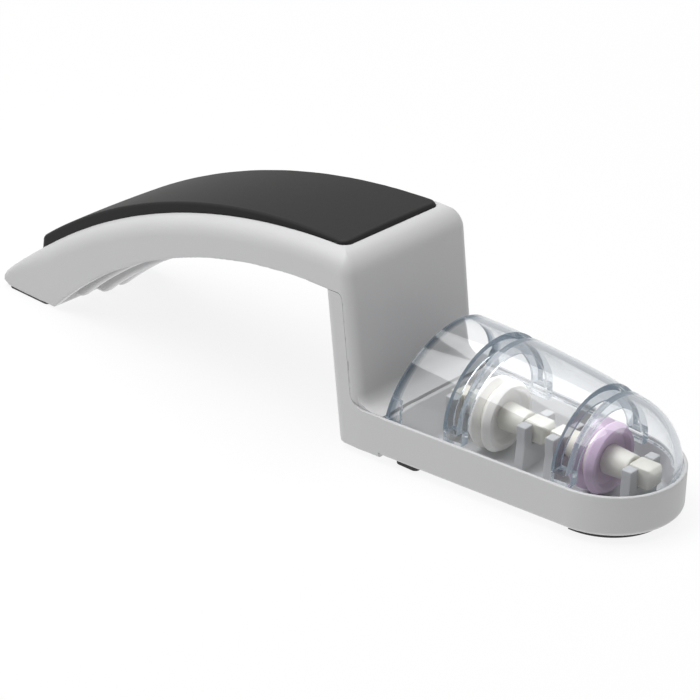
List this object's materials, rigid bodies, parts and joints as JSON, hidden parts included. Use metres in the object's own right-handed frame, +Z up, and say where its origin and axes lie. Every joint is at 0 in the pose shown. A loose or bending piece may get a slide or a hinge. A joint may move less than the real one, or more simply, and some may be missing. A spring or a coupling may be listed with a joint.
{
  "type": "water wheel knife sharpener",
  "caption": "Hand-held kitchen knife sharpener with an arched padded handle, a water tray, ceramic wheel pairs on fixed axles and a clear lift-off cover with guide slots.",
  "frame": {"origin": "centre of the bounding box in plan, on the plane that the rubber feet stand on", "axes": "+X from the tip of the handle towards the nose of the water tray, +Y to the far side as seen from the tray's right-hand side, +Z up"},
  "size_m": [0.2374, 0.0498, 0.0585],
  "materials": {
    "housing_abs": "light grey moulded plastic with a fine satin grain",
    "pad_rubber": "matt black soft-touch rubber",
    "foot_rubber": "matt black rubber",
    "screw_steel": "plain zinc-plated steel",
    "clear_plastic": "clear glossy moulded plastic",
    "white_ceramic": "fine matt sintered abrasive",
    "pink_ceramic": "fine matt sintered abrasive, pale lavender pink",
    "ivory_plastic": "ivory acetal, satin"
  },
  "bodies": {
    "housing": {"lower_housing": "housing_abs", "upper_housing": "housing_abs", "grip_pad": "pad_rubber", "tip_foot": "foot_rubber", "mid_foot": "foot_rubber", "nose_foot": "foot_rubber", "housing_screws": "screw_steel", "coarse_axle": "ivory_plastic", "coarse_end_cap": "ivory_plastic", "fine_axle": "ivory_plastic", "fine_end_cap": "ivory_plastic"},
    "cover": {"cover": "clear_plastic"},
    "coarse_wheel": {"coarse_hub_left": "ivory_plastic", "coarse_hub_right": "ivory_plastic", "coarse_disc_left": "white_ceramic", "coarse_disc_right": "white_ceramic", "coarse_spacer": "ivory_plastic"},
    "fine_wheel": {"fine_hub_left": "ivory_plastic", "fine_hub_right": "ivory_plastic", "fine_disc_left": "pink_ceramic", "fine_disc_right": "pink_ceramic", "fine_spacer": "ivory_plastic"}
  },
  "joints": [
    {"name": "cover_lift", "type": "slide", "parent": "housing", "child": "cover", "axis": [0, 0, 1], "range_m": [0, 0.045]},
    {"name": "coarse_wheel_spin", "type": "hinge", "parent": "housing", "child": "coarse_wheel", "pos_m": [0.062, 0, 0.014], "axis": [1, 0, 0], "continuous": true},
    {"name": "fine_wheel_spin", "type": "hinge", "parent": "housing", "child": "fine_wheel", "pos_m": [0.0959, 0, 0.014], "axis": [1, 0, 0], "continuous": true}
  ]
}
